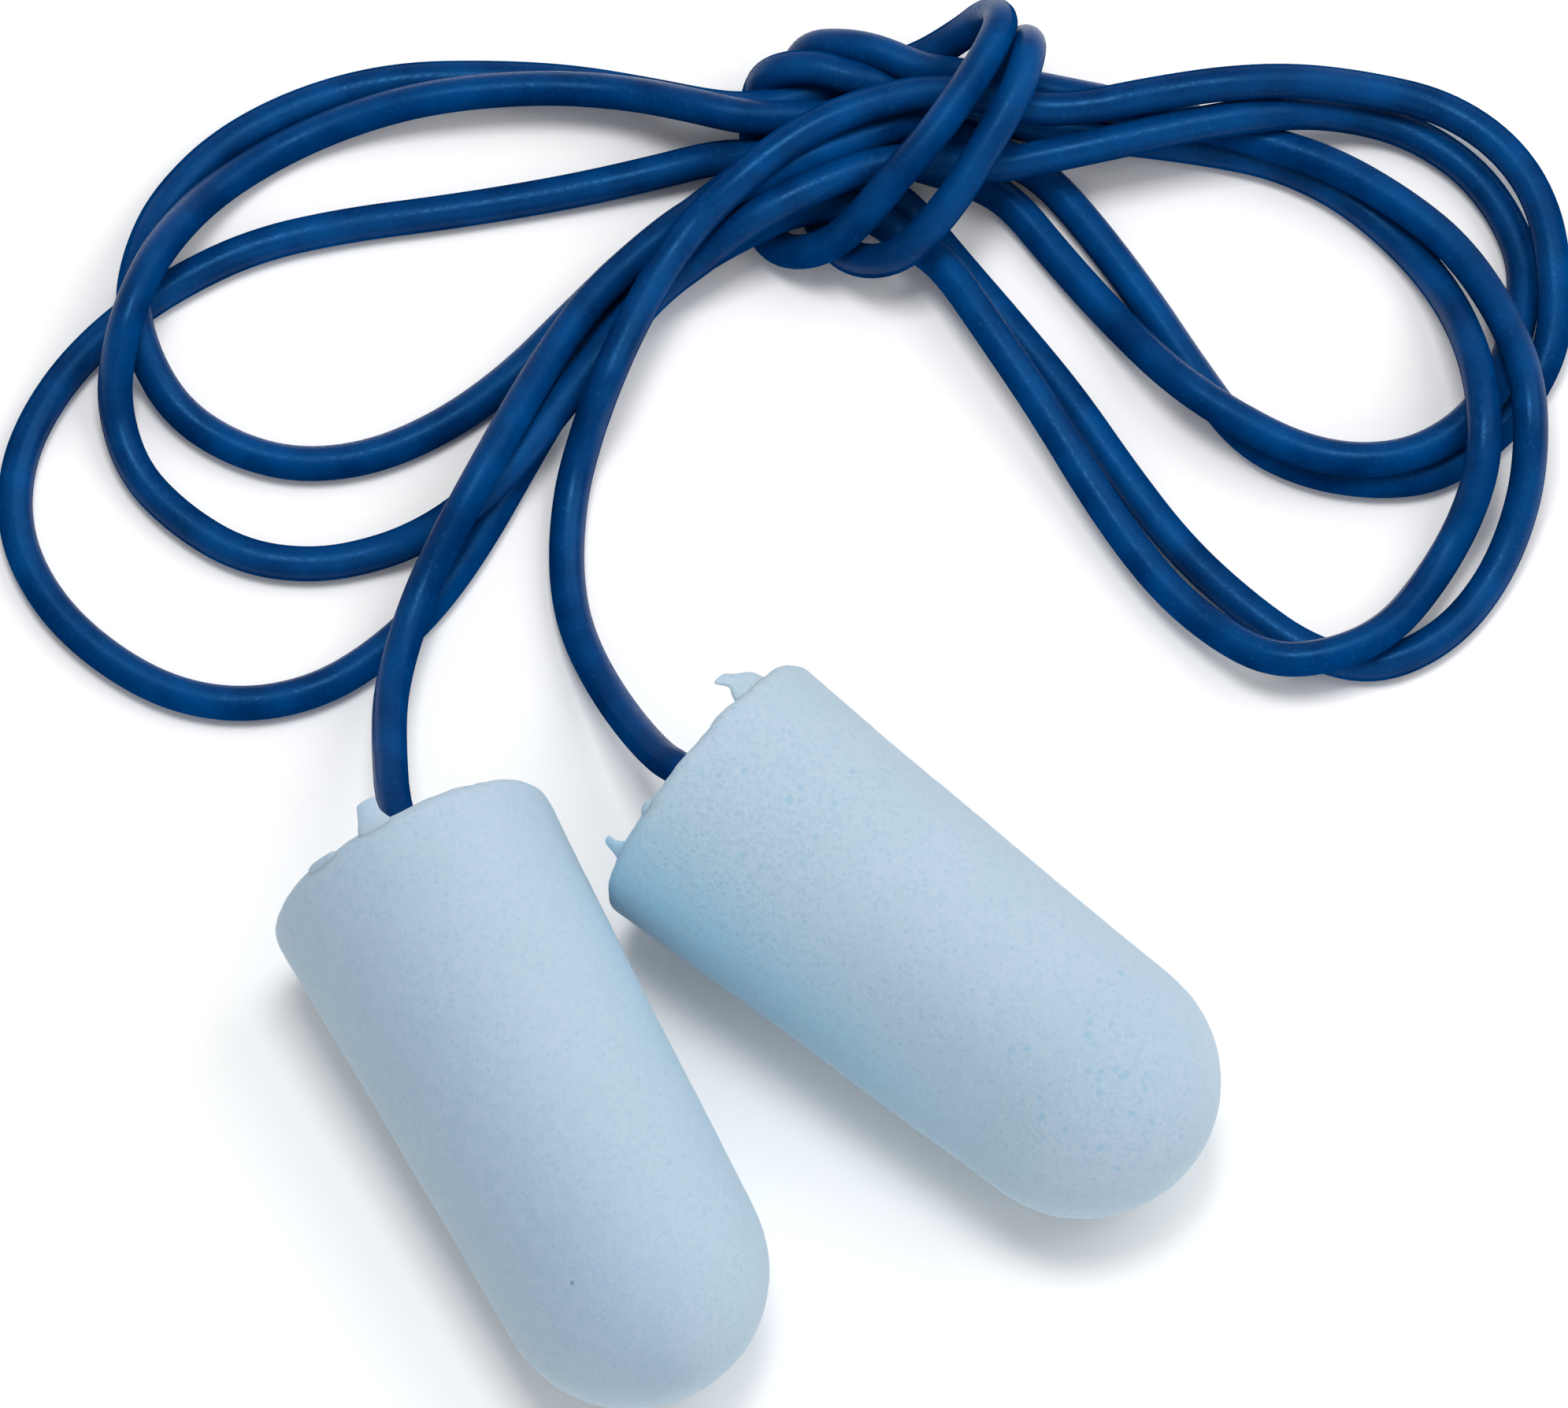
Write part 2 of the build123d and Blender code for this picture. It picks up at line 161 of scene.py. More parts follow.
# Points of the cord's middle line, from the right plug to the left one: part.py's list,
# with some points moved or added
cordRoute = {
    "legRight": [  # from the right plug up over the others, into the knot
        (-3.3, 12.2, 4.8), (-5.2, 15.9, 1.8), (-6.6, 19.2, 0.8), (-7.0, 22.0, 0.7), (-6.8, 25.1, 0.7),
        (-6.2, 27.2, 1.5), (-5.5, 28.5, 3.5), (-4.6, 30.7, 3.7), (-3.3, 33.3, 3.8), (-1.9, 35.3, 4.1),
        (-0.4, 36.6, 4.9), (1.3, 38.0, 5.2), (3.1, 39.2, 5.3), (5.2, 40.1, 5.2), (7.4, 40.7, 5.0),
    ],
    "loopRight1": [  # outer loop on the right
        (9.6, 40.7, 4.6), (11.4, 40.3, 4.1), (13.5, 40.3, 4.1), (16.1, 40.8, 4.3), (19.2, 41.2, 4.6),
        (22.1, 41.5, 4.2), (25.0, 41.8, 2.6), (28.0, 41.3, 2.0), (30.4, 39.6, 2.0), (31.9, 37.2, 2.0),
        (32.4, 34.2, 2.0), (32.4, 31.6, 1.3), (31.4, 29.4, 0.7), (29.9, 27.5, 0.7), (27.7, 25.9, 0.7),
        (25.2, 25.6, 0.7), (22.4, 26.1, 0.7), (19.9, 27.5, 0.7), (17.9, 30.5, 0.7), (16.0, 33.6, 0.7),
        (13.9, 36.6, 0.7), (12.0, 38.9, 0.7),
    ],
    "loopLeft1": [  # middle loop on the left
        (10.0, 39.8, 1.0), (8.0, 40.3, 1.5), (5.8, 40.6, 1.9), (3.6, 40.8, 2.1), (1.7, 40.4, 2.9),
        (0.0, 40.2, 3.5), (-2.0, 40.8, 3.3), (-4.5, 41.8, 2.2), (-7.9, 42.1, 2.1), (-12.0, 41.8, 2.0),
        (-15.4, 41.2, 1.2), (-18.6, 39.9, 0.7), (-21.3, 37.7, 1.4), (-23.1, 34.7, 3.4), (-24.1, 32.4, 3.8),
        (-24.7, 30.5, 3.4), (-25.0, 28.8, 1.2), (-24.2, 26.1, 0.7), (-22.3, 24.0, 0.7), (-19.8, 22.4, 0.7),
        (-16.9, 22.0, 0.7), (-14.2, 22.6, 0.7), (-12.1, 23.3, 1.5), (-10.4, 24.4, 2.2), (-9.0, 25.9, 2.2),
        (-7.8, 27.6, 2.1), (-6.4, 29.5, 2.1), (-4.8, 31.6, 2.1), (-3.2, 33.5, 2.1), (-1.5, 34.6, 2.6),
        (0.1, 35.5, 3.8), (1.7, 36.3, 4.2), (3.6, 37.2, 4.3), (5.5, 37.9, 4.2), (7.5, 38.2, 3.9),
    ],
    "loopRight2": [  # second loop on the right
        (9.9, 38.0, 3.5), (12.4, 38.6, 3.4), (15.2, 39.2, 3.5), (18.3, 39.9, 3.6), (21.1, 40.4, 3.5),
        (23.9, 41.3, 1.3), (26.7, 40.8, 0.7), (29.1, 39.1, 0.7), (30.6, 36.9, 0.7), (31.3, 34.6, 0.7),
        (30.9, 32.0, 0.9), (30.1, 29.3, 2.0), (28.7, 27.4, 2.1), (26.7, 26.2, 2.1), (24.4, 25.9, 2.2),
        (22.1, 26.4, 2.2), (19.7, 27.7, 2.2), (17.3, 29.4, 2.2), (15.0, 32.3, 1.0), (12.6, 35.3, 0.7),
        (10.8, 37.7, 0.7),
    ],
    "loopLeft2": [  # inner loop on the left
        (9.2, 38.6, 0.8), (7.7, 38.9, 1.2), (5.8, 39.3, 1.7), (4.2, 39.7, 2.2), (2.6, 39.2, 3.3),
        (1.1, 38.5, 3.5), (-0.2, 37.8, 2.5), (-1.6, 37.2, 1.2), (-3.2, 36.1, 0.7), (-4.8, 34.7, 0.7),
        (-6.8, 32.6, 0.7), (-8.9, 30.3, 0.7), (-11.5, 28.2, 0.7), (-14.5, 26.7, 0.7), (-17.5, 26.3, 0.7),
        (-20.1, 27.0, 0.7), (-22.3, 28.5, 0.7), (-23.6, 30.4, 1.3), (-24.3, 32.5, 2.3), (-23.9, 35.1, 2.0),
        (-22.9, 37.7, 1.0), (-20.7, 40.2, 0.7), (-17.5, 42.0, 0.7), (-13.9, 43.0, 0.7), (-10.1, 43.1, 0.7),
        (-6.7, 42.9, 0.7), (-3.6, 42.2, 1.0), (-1.2, 41.3, 1.9), (0.4, 41.1, 2.1), (2.1, 41.6, 2.0),
        (3.8, 42.2, 2.0), (5.5, 42.8, 2.0), (7.1, 43.3, 2.0),
    ],
    "turnFirst": [  # first turn across the hank
        (8.7, 44.0, 2.8), (9.9, 44.3, 4.5), (10.4, 43.4, 6.0), (10.1, 42.2, 6.6), (9.4, 40.9, 6.6),
        (8.6, 39.6, 6.6), (7.5, 38.1, 6.3), (6.2, 36.8, 5.7), (5.0, 35.7, 4.4), (3.5, 34.8, 2.9),
        (1.7, 35.3, 1.0), (0.7, 36.6, 0.7), (0.7, 38.6, 0.7), (0.6, 40.5, 0.7), (0.6, 42.2, 0.8),
        (1.1, 42.5, 2.7), (2.7, 42.4, 3.6), (4.6, 41.8, 3.6), (6.2, 41.7, 2.9),
    ],
    "loopRight4": [  # inner long loop on the right
        (7.7, 41.6, 1.8), (9.9, 41.3, 0.9), (13.0, 40.7, 0.7), (15.8, 40.4, 0.7), (18.6, 40.0, 0.7),
        (21.4, 39.4, 0.7), (24.1, 38.0, 0.7), (26.4, 35.9, 0.7), (28.0, 33.6, 1.2), (29.0, 30.6, 3.1),
        (29.5, 28.0, 3.7), (29.5, 25.3, 3.5), (28.7, 23.5, 1.4), (27.3, 21.1, 1.1), (25.6, 18.6, 2.1),
        (23.3, 17.5, 2.2), (20.9, 17.4, 2.1), (18.6, 19.1, 1.4), (16.5, 21.2, 1.3), (14.3, 24.4, 1.4),
        (12.1, 28.2, 1.8), (9.9, 31.6, 2.1), (8.1, 34.5, 1.9),
    ],
    "loopLeft3": [  # outer loop on the left
        (6.7, 35.6, 1.7), (5.3, 36.6, 1.9), (3.7, 37.1, 2.1), (1.9, 36.6, 2.4), (-0.3, 35.7, 1.9),
        (-2.3, 34.9, 0.7), (-4.1, 33.4, 0.7), (-5.9, 31.3, 0.7), (-7.4, 28.9, 0.7), (-8.9, 26.1, 0.7),
        (-10.3, 23.4, 0.7), (-12.0, 20.7, 0.7), (-14.0, 18.5, 0.7), (-16.6, 16.7, 0.7), (-19.6, 16.0, 0.7),
        (-22.6, 16.5, 0.7), (-25.4, 18.2, 0.7), (-27.6, 20.5, 0.7), (-28.9, 23.4, 0.7), (-28.8, 26.6, 0.7),
        (-27.4, 29.6, 0.7), (-25.3, 32.1, 0.7), (-22.7, 34.1, 0.7), (-19.5, 35.8, 0.7), (-15.8, 36.7, 0.7),
        (-11.4, 37.3, 0.7), (-7.0, 38.1, 0.7), (-3.6, 38.8, 1.0), (-1.2, 39.3, 1.4), (0.3, 39.1, 2.1),
        (2.1, 38.8, 2.1), (3.8, 38.2, 2.1), (5.6, 37.9, 1.6), (6.9, 37.1, 0.9),
    ],
    "loopRight3": [  # outer long loop on the right
        (8.4, 35.2, 0.7), (10.8, 32.2, 0.7), (13.1, 29.2, 0.7), (15.2, 25.9, 0.7), (17.4, 22.8, 0.7),
        (19.9, 20.3, 0.7), (22.5, 18.3, 0.7), (25.2, 17.6, 0.7), (27.9, 18.9, 0.7), (29.9, 21.4, 0.7),
        (31.1, 24.3, 1.6), (31.4, 26.6, 3.3), (31.2, 29.2, 3.5), (30.3, 32.0, 2.7), (28.6, 35.0, 2.1),
        (26.5, 36.9, 2.1), (23.7, 38.7, 2.1), (20.8, 39.8, 2.0), (17.7, 40.7, 2.1), (14.6, 41.5, 1.9),
        (12.1, 42.2, 1.5),
    ],
    "turnSecond": [  # second turn across the hank
        (9.9, 42.5, 1.9), (8.5, 42.3, 2.9), (7.1, 42.1, 3.8), (5.6, 42.8, 3.9), (4.2, 43.3, 3.5),
        (2.6, 43.7, 2.4), (2.1, 42.9, 0.8), (2.1, 40.8, 0.7), (2.6, 38.6, 0.7), (3.2, 36.5, 0.7),
        (4.4, 34.7, 1.7), (6.1, 34.1, 3.3), (7.4, 34.9, 4.4), (8.6, 36.2, 5.2), (9.5, 37.6, 5.8),
        (10.4, 39.0, 6.3), (11.1, 40.4, 6.5), (11.5, 42.1, 6.2), (11.3, 43.3, 4.2), (10.1, 42.2, 3.4),
        (8.7, 41.0, 3.4), (6.7, 40.1, 3.5), (4.9, 39.1, 4.0), (3.0, 38.3, 4.2),
    ],
    "legLeft": [  # out of the knot and down to the left plug
        (1.1, 37.4, 4.3), (-0.7, 36.6, 3.8), (-2.4, 36.1, 2.5), (-4.1, 34.8, 2.1), (-5.9, 33.0, 2.1),
        (-7.4, 30.7, 2.3), (-8.9, 27.6, 3.4), (-10.3, 24.7, 3.8), (-11.7, 22.3, 2.9), (-12.8, 20.1, 2.1),
        (-13.7, 17.1, 2.1), (-14.0, 14.2, 3.2),
    ],
}


def plugAxes(side):
    # The plug's base middle, its axis toward the tip, its top side and its length
    tip = Vector(mounts["ear_" + side]["pos_m"])
    along = Vector(mounts["ear_" + side]["axis"]).normalized()
    length = (tip - Vector(mounts["base_" + side]["pos_m"])).dot(along)
    top = (up - along * along.dot(up)).normalized()
    return tip - along * length, along, top, length


def makeCord(settings):
    rightBase, rightAxis, _, _ = plugAxes("right")
    leftBase, leftAxis, _, _ = plugAxes("left")
    seat, lead = settings["seatDepth"] * mm, settings["lead"] * mm
    points = [rightBase + rightAxis * seat, rightBase - rightAxis * lead]
    for stretch in cordRoute.values():
        points += [Vector(point) * mm for point in stretch]
    points += [leftBase - leftAxis * lead, leftBase + leftAxis * seat]

    curve = bpy.data.curves.new("cord", "CURVE")
    curve.dimensions = "3D"
    line = curve.splines.new("NURBS")
    line.points.add(len(points) - 1)
    for place, point in zip(points, line.points):
        point.co = (*place, 1)
        point.radius = settings["diameter"] / 2 * mm  # the curve's own box counts this
    line.order_u = 3
    line.use_endpoint_u = True
    line.resolution_u = settings["steps"]
    line.use_smooth = True
    curve.resolution_u = settings["steps"]
    curve.bevel_depth = 1  # times each point's radius
    curve.bevel_resolution = settings["sides"]
    curve.use_fill_caps = True
    curve.twist_mode = "Z_UP"  # so that the UV's second value says which side faces up
    piece = bpy.data.objects.new("cord", curve)
    bpy.context.scene.collection.objects.link(piece)
    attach(piece, "root")
    tubes = ("cord_leg", "cord_loop", "cord_knot")
    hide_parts(*[name for name in frame["nodes"] if name.startswith(tubes)])
    return piece


cordPiece = makeCord(cord)
print("cord laid")


# ---- foam plugs ----
plug = {
    "baseRadius": 6.1,
    "taper": 1.9,  # degrees
    "waist": 0.05,  # how much the side bows in between base and dome
    "boreRadius": 0.78,  # the foam hugs the cord
    "boreDepth": 5.6,
    "sides": 48,
    "sideRings": 15,
    "domeRings": 9,
    "levels": 3,
    "flakeRoot": 5.6,  # from the axis to where a flake of flash grows out of the base
    "flakeLevels": 2,
    # (beyond the bore's radius, height) of the rings round the bore's mouth
    "mouth": [(0, 2.5), (0, 0.5), (0.12, 0.12), (0.45, -0.02)],
    "face": [(2.1, 0.0), (3.0, 0.03), (4.0, 0.0)],  # (radius, height) of the base's rings
    "faceMargin": 0.3,  # from the last ring of the base to its rounded edge
    "edgeTurns": (0, 30, 60, 90),
    "sideStart": 0.4,  # the side's rings keep this far above the rounded edge
}

# Flakes of flash stand on the base's edge. Angles are round the axis from the plug's top,
# toward its left as seen from the base. A flake's steps are (back, sideways, up, width).
# A tone is (channel, angle, its spread, height as a share of the length, its spread, amount).
plugs = {
    "left": {
        "seed": 11.0,
        "edge": 0.85,
        "flakes": [
            {
                "angle": 14.5,
                "thickness": 0.8,
                "steps": [
                    (-0.6, 0, 0, 2.0), (-0.1, 0, 0, 1.6), (0.2, 0, 0, 1.2), (0.5, -0.05, 0, 1.05),
                    (0.85, -0.15, 0, 0.95), (0.98, -0.15, 0, 0.9),
                ],
            },
            {
                "angle": 41,
                "thickness": 0.8,
                "steps": [(-0.8, 0, 0, 2.2), (-0.2, 0, 0, 1.8), (0.05, 0, 0, 1.4)],
            },
        ],
        "tones": [
            # The first two tones here are the skin's lavender tint and also painted shade on the left
            # plug's left side, away from the light
            ("bluishTintAndShade", 45, 40, 0.35, 0.7, 0.8), ("bluishTintAndShade", 25, 40, 0.9, 0.3, 0.5),
            # The blue-green tone on the left plug's right side is painted bounce light from the other plug
            ("tealBounceLight", -75, 28, 0.3, 0.5, 0.3), ("pored", 35, 40, 0.3, 0.5, 0.35),
            ("pored", 0, 60, 0.85, 0.2, 0.25),
        ],
    },
    "right": {
        "seed": 47.0,
        "edge": 0.55,
        "flakes": [
            {
                "angle": -28.5,
                "thickness": 0.7,
                "steps": [
                    (-0.5, 0, 0, 2.3), (0, -0.1, 0, 2.2), (0.3, -0.2, 0, 1.9), (0.5, -0.05, 0.1, 1.2),
                    (0.75, 0.25, 0.1, 0.95), (1.0, 0.4, 0, 0.9), (1.12, 0.45, 0, 0.85),
                ],
            },
            {
                "angle": 38,
                "thickness": 0.7,
                "steps": [(-0.6, 0, 0, 1.4), (-0.1, 0, 0.1, 1.0), (0.15, 0, 0.1, 0.6)],
            },
            {
                "angle": 63,
                "thickness": 0.6,
                "steps": [
                    (-0.5, 0, 0, 1.4), (0.05, -0.05, 0, 0.9), (0.3, -0.1, 0.15, 0.55),
                    (0.5, -0.25, 0.25, 0.52), (0.68, -0.4, 0.35, 0.5),
                ],
            },
        ],
        "tones": [
            # The blue-green tones on the lower left, facing the other plug, are painted bounce light from
            # it
            ("tealBounceLight", 75, 34, 0.12, 0.28, 1.0), ("tealBounceLight", 80, 26, 0.5, 0.25, 0.55),
            ("bluishTintAndShade", 35, 26, 0.6, 0.3, 0.6), ("bluishTintAndShade", -20, 40, 0.9, 0.2, 0.3),
            ("pored", 15, 40, 0.15, 0.18, 0.85), ("pored", 20, 40, 0.86, 0.12, 1.0),
            ("pored", 20, 40, 0.5, 0.3, 0.3), ("coarse", 8, 26, 0.87, 0.07, 0.95),
            ("coarse", 10, 22, 0.12, 0.09, 0.6), ("coarse", 30, 12, 0.75, 0.06, 0.5),
        ],
    },
}


def plugProfile(settings, edge, length):
    # (radius, height) of each ring, from the bore's mouth over the base and up to the tip
    taper = math.radians(settings["taper"])
    base = settings["baseRadius"]
    slope = math.tan(taper)
    dome = (base - length * slope) / (math.cos(taper) - slope * (1 - math.sin(taper)))
    domeStart = length - dome * (1 - math.sin(taper))
    bore = settings["boreRadius"]
    rings = [(bore + beyond, height) for beyond, height in settings["mouth"]]
    rings += [*settings["face"], (base - edge - settings["faceMargin"], 0.0)]
    for turn in settings["edgeTurns"]:
        rise = math.radians(turn)
        rings.append((base - edge + edge * math.sin(rise), edge - edge * math.cos(rise)))
    for step in range(1, settings["sideRings"] + 1):
        height = domeStart * step / (settings["sideRings"] + 1)
        if height > edge + settings["sideStart"]:
            bow = settings["waist"] * math.sin(math.pi * height / domeStart)
            rings.append((base - height * slope - bow, height))
    for step in range(settings["domeRings"]):
        rise = taper + (math.pi / 2 - taper) * step / settings["domeRings"]
        rings.append((dome * math.cos(rise), length - dome + dome * math.sin(rise)))
    return rings


def smoothForm(piece, levels):
    selectOnly(piece)
    smooth = piece.modifiers.new("smooth", "SUBSURF")
    smooth.levels = smooth.render_levels = levels
    bpy.ops.object.modifier_apply(modifier="smooth")


def closeForm():
    bpy.ops.mesh.select_all(action="SELECT")
    bpy.ops.mesh.normals_make_consistent(inside=False)
    bpy.ops.object.mode_set(mode="OBJECT")


def makeFlake(flake, settings):
    # A thin lip of flash, drawn out step by step from inside the base's edge
    turn = math.radians(flake["angle"])
    outward = Vector((math.cos(turn), math.sin(turn), 0))
    sideways = Vector((-math.sin(turn), math.cos(turn), 0))
    places = [
        (outward * (settings["flakeRoot"] + rise) + sideways * aside - Vector((0, 0, back))) * mm
        for back, aside, rise, _ in flake["steps"]
    ]
    width = flake["steps"][0][3]
    deselectAll()
    bpy.ops.mesh.primitive_plane_add(size=mm, location=places[0], rotation=(0, 0, turn))
    piece = bpy.context.object
    piece.scale = (flake["thickness"], width, 1)
    bpy.ops.object.transform_apply(location=True, rotation=True, scale=True)
    bpy.ops.object.mode_set(mode="EDIT")
    bpy.ops.mesh.select_mode(type="FACE")
    bpy.ops.mesh.select_all(action="SELECT")
    for place, before, step in zip(places[1:], places, flake["steps"][1:]):
        bpy.ops.mesh.extrude_region_move(TRANSFORM_OT_translate={"value": place - before})
        size = step[3] / width
        bpy.ops.transform.resize(value=(size, size, 1), center_override=place)
        width = step[3]
    closeForm()
    smoothForm(piece, settings["flakeLevels"])
    return piece


def makePlug(side, settings, own):
    base, along, top, length = plugAxes(side)
    rings = plugProfile(settings, own["edge"], length / mm)
    deselectAll()
    radius, height = settings["boreRadius"], settings["boreDepth"]
    bpy.ops.mesh.primitive_circle_add(
        vertices=settings["sides"], radius=radius * mm, fill_type="NGON", location=(0, 0, height * mm)
    )
    foam = bpy.context.object
    foam.name = "foamPlug" + side.capitalize()
    bpy.ops.object.transform_apply(location=True, rotation=False, scale=False)
    bpy.ops.object.mode_set(mode="EDIT")
    bpy.ops.mesh.select_mode(type="FACE")
    bpy.ops.mesh.select_all(action="SELECT")
    for nextRadius, nextHeight in rings:
        bpy.ops.mesh.extrude_region_move(
            TRANSFORM_OT_translate={"value": (0, 0, (nextHeight - height) * mm)}
        )
        size = nextRadius / radius
        bpy.ops.transform.resize(value=(size, size, 1), center_override=(0, 0, nextHeight * mm))
        radius, height = nextRadius, nextHeight
    closeForm()
    smoothForm(foam, settings["levels"])
    flakes = [makeFlake(flake, settings) for flake in own["flakes"]]
    selectOnly(foam)
    for flake in flakes:
        flake.select_set(True)
    bpy.ops.object.join()
    roughenFoam(foam, own)
    toneFoam(foam, own["tones"], length / mm)

    # Into its place: so far local X is the plug's top and local Z its axis
    sideways = along.cross(top)
    for vertex in foam.data.vertices:
        vertex.co = base + top * vertex.co.x + sideways * vertex.co.y + along * vertex.co.z
    foam.data.update()
    bpy.ops.object.shade_smooth()
    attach(foam, "root")
    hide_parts("foam_plug_" + side)
    return foam


# Each pattern is (size, height), in millimetres
relief = {
    "lumps": (5, 0.05),
    "grain": (0.5, 0.012),
    "ragged": (1.3, 0.09),
    "torn": (0.5, 0.035),
    "edgeReach": 0.9,  # how far up the side the uneven edge goes
    "edgeStart": 4.6,  # from the axis
    "edgeFade": 0.6,
    "cut": (0.7, 0.05),  # on the flat of the base
    "cutReach": 5,
    "cutDepth": 0.3,
}


def roughenFoam(foam, own):
    # Moulded foam is a little lumpy, its edge is uneven, and its cells show as a fine grain
    seed = Vector((own["seed"], 0, 0))

    def pattern(name, place, shift):
        size, height = relief[name]
        return noise.noise(place / size + shift) * height

    normals = [vertex.normal.copy() for vertex in foam.data.vertices]
    for vertex, normal in zip(foam.data.vertices, normals):
        place = vertex.co / mm
        reach = math.hypot(place.x, place.y)
        edge = max(0, 1 - abs(place.z) / relief["edgeReach"])
        edge *= max(0, min(1, (reach - relief["edgeStart"]) / relief["edgeFade"]))
        uneven = (pattern("ragged", place, seed) + pattern("torn", place, -seed)) * edge
        onFace = abs(place.z) < relief["cutDepth"] and reach < relief["cutReach"]
        cut = pattern("cut", place, -seed) if onFace else 0
        lumps = pattern("lumps", place, seed)
        grain = pattern("grain", place, seed)
        vertex.co += normal * (lumps + grain + uneven + cut) * mm


def toneFoam(foam, tones, length):
    # Where the skin has its lavender tint and painted shade, where painted bounce light from the other
    # plug tints it blue-green, and where it is pored or coarse, as an attribute for the material
    channels = ("bluishTintAndShade", "tealBounceLight", "pored", "coarse")
    attribute = foam.data.attributes.new("foamTone", "FLOAT_COLOR", "POINT")
    for vertex, mark in zip(foam.data.vertices, attribute.data):
        place = vertex.co / mm
        angle = math.degrees(math.atan2(place.y, place.x))
        share = place.z / length
        amounts = dict.fromkeys(channels, 0)
        for channel, middle, spread, height, heightSpread, amount in tones:
            away = (angle - middle + 180) % 360 - 180
            fall = (away / spread) ** 2 + ((share - height) / heightSpread) ** 2
            amounts[channel] += amount * math.exp(-fall)
        mark.color = [min(1, amounts[channel]) for channel in channels]


plugPieces = {side: makePlug(side, plug, own) for side, own in plugs.items()}
print("plugs shaped")


# ---- materials ----
foamLook = {
    "pale": "#b1c3d3",
    # Lavender tint of the skin, also used as painted shade on a plug's side away from the light
    "bluishTintAndShade": "#9db2c8",
    # Painted bounce light from the other plug, where the two plugs face each other
    "tealBounceLight": "#9ccce3",
    "greenish": "#aec3d0",
    "pore": "#8fb0c6",
    "speck": "#5b6f80",
    "hollowShade": "#86b0cb",
    # sizes of the patterns, in millimetres
    "mottle": 6,
    "cloud": 0.6,
    "hollow": 0.5,
    "cell": 0.2,
    "grain": 0.22,
    "speckCell": 3.4,
    # where each pattern starts and ends, and how strongly it shows
    "mottleRange": (0.42, 0.62),
    "cloudRange": (0.36, 0.64),
    "cloudLow": 0.65,
    "poreRange": (0.1, 0.6),
    "poreShare": 0.42,
    "hollowRange": (0.22, 0.36),
    "hollowShare": 0.5,
    "grainRange": (0.38, 0.7),
    "grainShare": 0.3,
    "speckRange": (0.02, 0.035),
    "speckShare": 0.6,
    "bumpStrength": 0.35,
    "bumpDepth": 0.06,
    "roughness": 0.95,
    "specular": 0.1,
    "subsurface": 0.25,
    "subsurfaceTint": (0.8, 0.9, 1.0),
    "subsurfaceDepth": 0.8,
    "sheen": 0.12,
    "sheenRoughness": 0.5,
}


